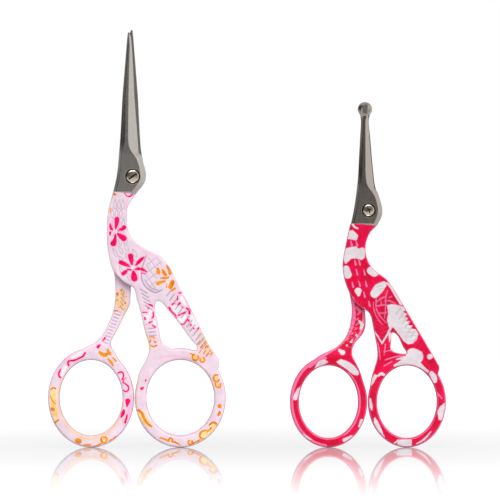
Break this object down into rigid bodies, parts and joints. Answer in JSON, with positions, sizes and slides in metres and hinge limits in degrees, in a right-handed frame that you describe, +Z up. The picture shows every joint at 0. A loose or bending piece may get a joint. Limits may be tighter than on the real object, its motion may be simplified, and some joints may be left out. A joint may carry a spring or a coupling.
{
  "type": "stork embroidery scissors",
  "caption": "Stork embroidery scissors: printed handles shaped as the bird and its legs, steel blades as its beak; a tall pointed pair and a short ball-tipped pair.",
  "frame": {"origin": "middle of the set's base, on the surface that the finger rings stand on, in the plane where the halves meet", "axes": "+Z up along the closed blades, +Y to the back half of each pair, +X from the pointed pair to the rounded pair"},
  "size_m": [0.1094, 0.0038, 0.115],
  "materials": {
    "pink_print": "glossy flower print on pale pink, over steel",
    "red_print": "glossy crimson print with white blossoms, over steel",
    "blade_steel": "ground and satin brushed",
    "screw_steel": "polished"
  },
  "bodies": {
    "pointed_front": {"pointed_front_half": "pink_print"},
    "pointed_back": {"pointed_back_half": "pink_print", "pointed_pivot_screw": "screw_steel"},
    "rounded_back": {"rounded_back_half": "red_print", "rounded_pivot_screw": "screw_steel"},
    "rounded_front": {"rounded_front_half": "red_print"}
  },
  "joints": [
    {"name": "pointed_pivot", "type": "hinge", "parent": "pointed_front", "child": "pointed_back", "pos_m": [-0.03141, 0, 0.0745], "axis": [0, 1, 0], "range_deg": [0, 70]},
    {"name": "rounded_set_apart", "type": "slide", "parent": "pointed_front", "child": "rounded_back", "axis": [1, 0, 0], "range_m": [0, 0.05]},
    {"name": "rounded_pivot", "type": "hinge", "parent": "rounded_back", "child": "rounded_front", "pos_m": [0.03345, 0, 0.0652], "axis": [0, -1, 0], "range_deg": [0, 70]}
  ]
}
